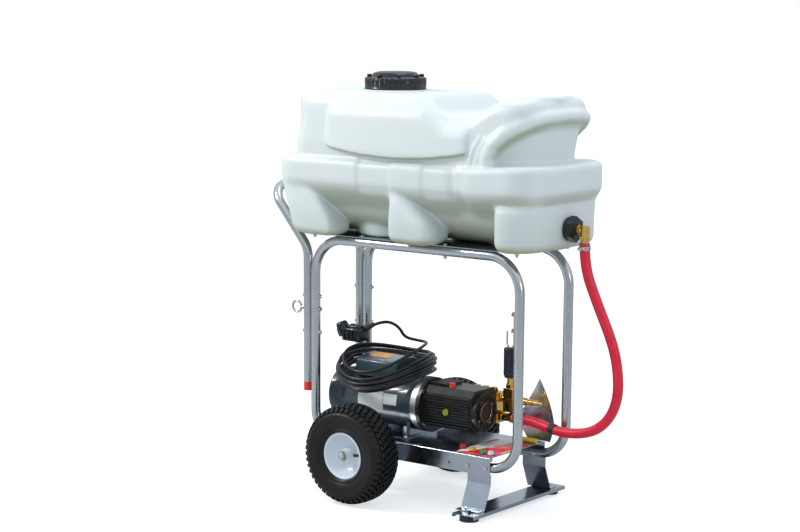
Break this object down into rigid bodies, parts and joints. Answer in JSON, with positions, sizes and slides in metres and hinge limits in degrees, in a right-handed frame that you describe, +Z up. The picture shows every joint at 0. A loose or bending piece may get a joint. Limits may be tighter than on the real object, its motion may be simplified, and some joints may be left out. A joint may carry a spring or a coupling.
{
  "type": "wheeled sprayer cart",
  "caption": "Two-wheel cart with a moulded water tank on tube hoops above an electric motor and plunger pump, with hose, coiled cord, nozzles and a sliding handle.",
  "frame": {"origin": "on the ground, in the middle of the cart's footprint box without its hose and cord", "axes": "+X to the front, away from the push handle; +Y to the side of the pump manifold; +Z up"},
  "size_m": [1.3141, 0.7006, 1.391],
  "materials": {
    "tube_aluminium": "satin drawn tube",
    "deck_aluminium": "satin rolled sheet",
    "polished_aluminium": "bright rolled sheet",
    "zinc_steel": "bright zinc plate",
    "steel": "machined",
    "white_polyethylene": "waxy translucent moulding",
    "black_plastic": "ribbed moulding",
    "black_rubber": "matt",
    "tyre_rubber": "matt black",
    "white_paint": "gloss",
    "red_plastic": "satin",
    "red_hose": "matt",
    "motor_paint": "semi gloss",
    "cast_aluminium": "machined casting",
    "black_casting": "satin black casting",
    "brass": "machined",
    "sight_glass": "clear yellow",
    "copper_core": "varnished laminations",
    "cord_black": "smooth jacket",
    "nozzle_red": "gloss",
    "nozzle_orange": "gloss",
    "nozzle_green": "gloss",
    "nozzle_white": "gloss",
    "yellow_plastic": "gloss"
  },
  "bodies": {
    "cart": {"axle": "steel", "axle_collars": "zinc_steel", "bulkhead_fitting": "black_plastic", "cord_coil": "cord_black", "cord_lead": "cord_black", "cord_plug": "black_plastic", "cord_tail": "cord_black", "deck_plate": "deck_aluminium", "discharge_plug": "brass", "edge_guard": "yellow_plastic", "fan_cover": "motor_paint", "frame_bolts": "zinc_steel", "hoop_far": "tube_aluminium", "hoop_near": "tube_aluminium", "hose_clamps": "zinc_steel", "inlet_fitting": "brass", "lance_hook": "zinc_steel", "motor_bearings": "steel", "motor_cradle": "deck_aluminium", "motor_flange": "cast_aluminium", "motor_housing": "motor_paint", "nozzle_grommets": "black_rubber", "oil_cap": "red_plastic", "plungers": "nozzle_white", "pump_bolts": "zinc_steel", "pump_crankcase": "black_casting", "pump_end_cover": "black_casting", "pump_manifold": "brass", "rubber_feet": "black_rubber", "side_bolts": "zinc_steel", "sight_glass": "sight_glass", "skid_bar": "deck_aluminium", "stator_core": "copper_core", "strain_relief": "black_rubber", "suction_hose": "red_hose", "tank": "white_polyethylene", "tank_elbow": "brass", "tank_tray": "deck_aluminium", "terminal_box": "motor_paint", "unloader_body": "brass", "valve_caps": "brass", "wand_holster": "polished_aluminium"},
    "wheel_near": {"rim_near": "white_paint", "tyre_near": "tyre_rubber", "bearings_near": "steel"},
    "wheel_far": {"rim_far": "white_paint", "tyre_far": "tyre_rubber", "bearings_far": "steel"},
    "handle": {"handle_tube": "tube_aluminium", "handle_end_caps": "red_plastic"},
    "eye_bolt": {"eye_bolt": "zinc_steel"},
    "lid_ring": {"lid_gasket": "black_rubber"},
    "lid": {"tank_lid": "black_plastic"},
    "rotor": {"rotor_shaft": "steel", "pump_crank": "steel"},
    "knob": {"unloader_knob": "black_plastic"},
    "red_nozzle": {"nozzle_red": "nozzle_red"},
    "orange_nozzle": {"nozzle_orange": "nozzle_orange"},
    "green_nozzle": {"nozzle_green": "nozzle_green"},
    "white_nozzle": {"nozzle_white": "nozzle_white"}
  },
  "joints": [
    {"name": "wheel_near_spin", "type": "hinge", "parent": "cart", "child": "wheel_near", "pos_m": [-0.112, -0.2868, 0.165], "axis": [0, 1, 0], "continuous": true},
    {"name": "wheel_far_spin", "type": "hinge", "parent": "cart", "child": "wheel_far", "pos_m": [-0.112, 0.2868, 0.165], "axis": [0, 1, 0], "continuous": true},
    {"name": "handle_slide", "type": "slide", "parent": "cart", "child": "handle", "axis": [0, 0, 1], "range_m": [-0.1, 0]},
    {"name": "eye_bolt_turn", "type": "hinge", "parent": "cart", "child": "eye_bolt", "pos_m": [-0.447, -0.1395, 0.598], "axis": [1, 0, 0], "range_deg": [0, 360]},
    {"name": "lid_lift", "type": "slide", "parent": "cart", "child": "lid_ring", "axis": [0, 0, 1], "range_m": [0, 0.15]},
    {"name": "lid_turn", "type": "hinge", "parent": "lid_ring", "child": "lid", "pos_m": [-0.161, 0, 1.363], "axis": [0, 0, 1], "range_deg": [0, 360]},
    {"name": "rotor_spin", "type": "hinge", "parent": "cart", "child": "rotor", "pos_m": [-0.112, 0, 0.298], "axis": [1, 0, 0], "continuous": true},
    {"name": "knob_turn", "type": "hinge", "parent": "cart", "child": "knob", "pos_m": [0.247, 0.1, 0.45], "axis": [0, 0, 1], "range_deg": [0, 270]},
    {"name": "red_nozzle_pull", "type": "slide", "parent": "cart", "child": "red_nozzle", "axis": [0, 0, 1], "range_m": [0, 0.03]},
    {"name": "orange_nozzle_pull", "type": "slide", "parent": "cart", "child": "orange_nozzle", "axis": [0, 0, 1], "range_m": [0, 0.03]},
    {"name": "green_nozzle_pull", "type": "slide", "parent": "cart", "child": "green_nozzle", "axis": [0, 0, 1], "range_m": [0, 0.03]},
    {"name": "white_nozzle_pull", "type": "slide", "parent": "cart", "child": "white_nozzle", "axis": [0, 0, 1], "range_m": [0, 0.03]}
  ]
}
